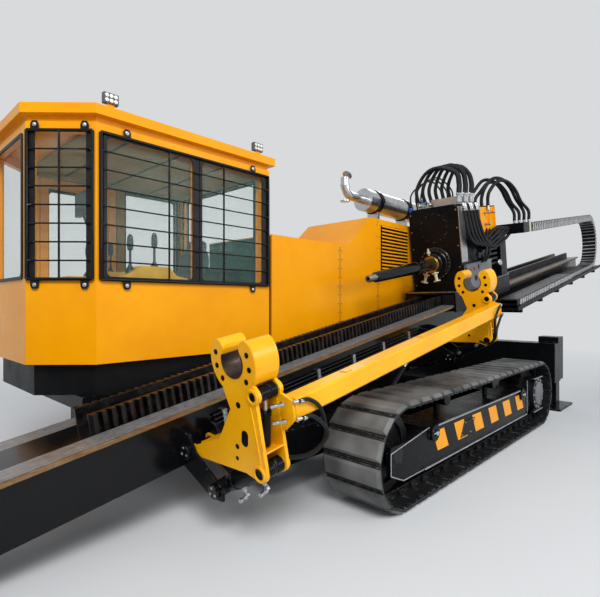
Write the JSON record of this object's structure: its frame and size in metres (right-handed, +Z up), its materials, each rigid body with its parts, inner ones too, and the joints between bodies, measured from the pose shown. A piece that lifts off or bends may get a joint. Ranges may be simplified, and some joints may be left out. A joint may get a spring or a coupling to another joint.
{
  "type": "horizontal directional drill",
  "caption": "Crawler drilling rig with a long sloping rack beam, a sliding rotary drive, pipe handling arms, a guarded cab and an engine hood.",
  "frame": {"origin": "on the ground, midway between the two tracks and between their end wheels", "axes": "+X is the drilling direction, +Y is the pipe side away from the cab, +Z is up"},
  "size_m": [14.4605, 3.59, 3.6665],
  "materials": {
    "amber_paint": "satin",
    "black_paint": "satin",
    "bright_steel": "brushed",
    "cab_glass": "clear",
    "console_plastic": "textured",
    "gloss_black": "gloss",
    "grey_paint": "satin",
    "hose_rubber": "ribbed",
    "lamp_glass": "gloss",
    "rack_steel": "worn",
    "rod_chrome": "polished",
    "seat_fabric": "woven",
    "track_steel": "satin"
  },
  "bodies": {
    "chassis": {"track_left": "track_steel", "track_right": "track_steel", "track_frame_left": "black_paint", "track_frame_right": "black_paint", "idler_left": "track_steel", "idler_right": "track_steel", "sprocket_left": "track_steel", "sprocket_right": "track_steel", "chassis_frame": "black_paint", "deck_frame": "black_paint", "rear_frame": "black_paint", "cab_shell": "amber_paint", "cab_glass": "cab_glass", "cab_roof": "amber_paint", "cab_base": "black_paint", "cab_guards": "black_paint", "cab_seat": "seat_fabric", "cab_console": "console_plastic", "hood": "amber_paint", "louvre_panels": "amber_paint", "muffler": "rod_chrome", "exhaust_pipe": "rod_chrome", "engine_block": "grey_paint", "work_lamps": "lamp_glass"},
    "door": {"cab_door": "amber_paint", "cab_door_glass": "cab_glass"},
    "leg_left_body": {"leg_left": "black_paint"},
    "leg_right_body": {"leg_right": "black_paint"},
    "beam": {"main_beam": "gloss_black", "rack_left": "rack_steel", "rack_right": "rack_steel", "vise_clamp": "black_paint", "front_foot": "black_paint", "arm_brackets": "black_paint", "chain_tray": "black_paint", "energy_chain_lower": "bright_steel"},
    "wrench": {"vise_wrench": "black_paint"},
    "chain_loop": {"energy_chain_bend": "bright_steel"},
    "carriage": {"carriage_frame": "black_paint", "gearbox": "black_paint", "drive_motors": "black_paint", "valve_panel": "grey_paint", "chain_post": "black_paint", "manifold": "bright_steel", "hoses": "hose_rubber", "energy_chain_upper": "bright_steel"},
    "spindle_body": {"spindle": "gloss_black"},
    "arms": {"arm_front": "amber_paint", "arm_rear": "amber_paint", "arm_link": "amber_paint"},
    "arm_barrel": {"arm_barrels": "black_paint"},
    "arm_rod": {"arm_rods": "rod_chrome"},
    "lift_barrel": {"lift_barrels": "black_paint"},
    "lift_rod": {"lift_rods": "rod_chrome"}
  },
  "joints": [
    {"name": "beam_tilt", "type": "hinge", "parent": "chassis", "child": "beam", "pos_m": [1.8259, 0, 0.6043], "axis": [0, 1, 0], "range_deg": [-3, 0]},
    {"name": "carriage_slide", "type": "slide", "parent": "beam", "child": "carriage", "axis": [0.9857, 0, -0.1685], "range_m": [0, 4]},
    {"name": "chain_loop_slide", "type": "slide", "parent": "beam", "child": "chain_loop", "axis": [0.9857, 0, -0.1685], "range_m": [0, 2]},
    {"name": "spindle_turn", "type": "hinge", "parent": "carriage", "child": "spindle_body", "pos_m": [0.0246, 0, 1.9368], "axis": [0.9857, 0, -0.1685], "continuous": true},
    {"name": "arm_swing", "type": "hinge", "parent": "beam", "child": "arms", "pos_m": [1.8545, 0.38, 0.7719], "axis": [-0.9857, 0, 0.1685], "range_deg": [-66.35, 0]},
    {"name": "arm_barrel_turn", "type": "hinge", "parent": "beam", "child": "arm_barrel", "pos_m": [1.8191, 0.664, 0.5649], "axis": [-0.9857, 0, 0.1685], "range_deg": [-64, 1]},
    {"name": "arm_rod_slide", "type": "slide", "parent": "arm_barrel", "child": "arm_rod", "axis": [0.0759, 0.8928, 0.4439], "range_m": [0, 0.39]},
    {"name": "lift_barrel_turn", "type": "hinge", "parent": "chassis", "child": "lift_barrel", "pos_m": [0.7, 0, 0.43], "axis": [0, 1, 0], "range_deg": [-9, 0.5]},
    {"name": "lift_rod_slide", "type": "slide", "parent": "lift_barrel", "child": "lift_rod", "axis": [-0.8006, 0, 0.5992], "range_m": [-0.06, 0.002]},
    {"name": "leg_left_slide", "type": "slide", "parent": "chassis", "child": "leg_left_body", "axis": [0, 0, 1], "range_m": [0, 0.3]},
    {"name": "leg_right_slide", "type": "slide", "parent": "chassis", "child": "leg_right_body", "axis": [0, 0, 1], "range_m": [0, 0.3]},
    {"name": "cab_door_hinge", "type": "hinge", "parent": "chassis", "child": "door", "pos_m": [2.388, -2.216, 2], "axis": [0, 0, -1], "range_deg": [0, 80]},
    {"name": "wrench_turn", "type": "hinge", "parent": "beam", "child": "wrench", "pos_m": [4.6377, 0, 1.1483], "axis": [0.9857, 0, -0.1685], "range_deg": [-12, 12]}
  ],
  "couplings": [
    {"joint": "chain_loop_slide", "follows": "carriage_slide", "ratio": 0.5},
    {"joint": "arm_barrel_turn", "follows": "arm_swing", "ratio": 0.9583},
    {"joint": "arm_rod_slide", "follows": "arm_swing", "m_per_rad": -0.3326},
    {"joint": "lift_barrel_turn", "follows": "beam_tilt", "ratio": 1.7719},
    {"joint": "lift_rod_slide", "follows": "beam_tilt", "m_per_rad": 0.7764}
  ]
}
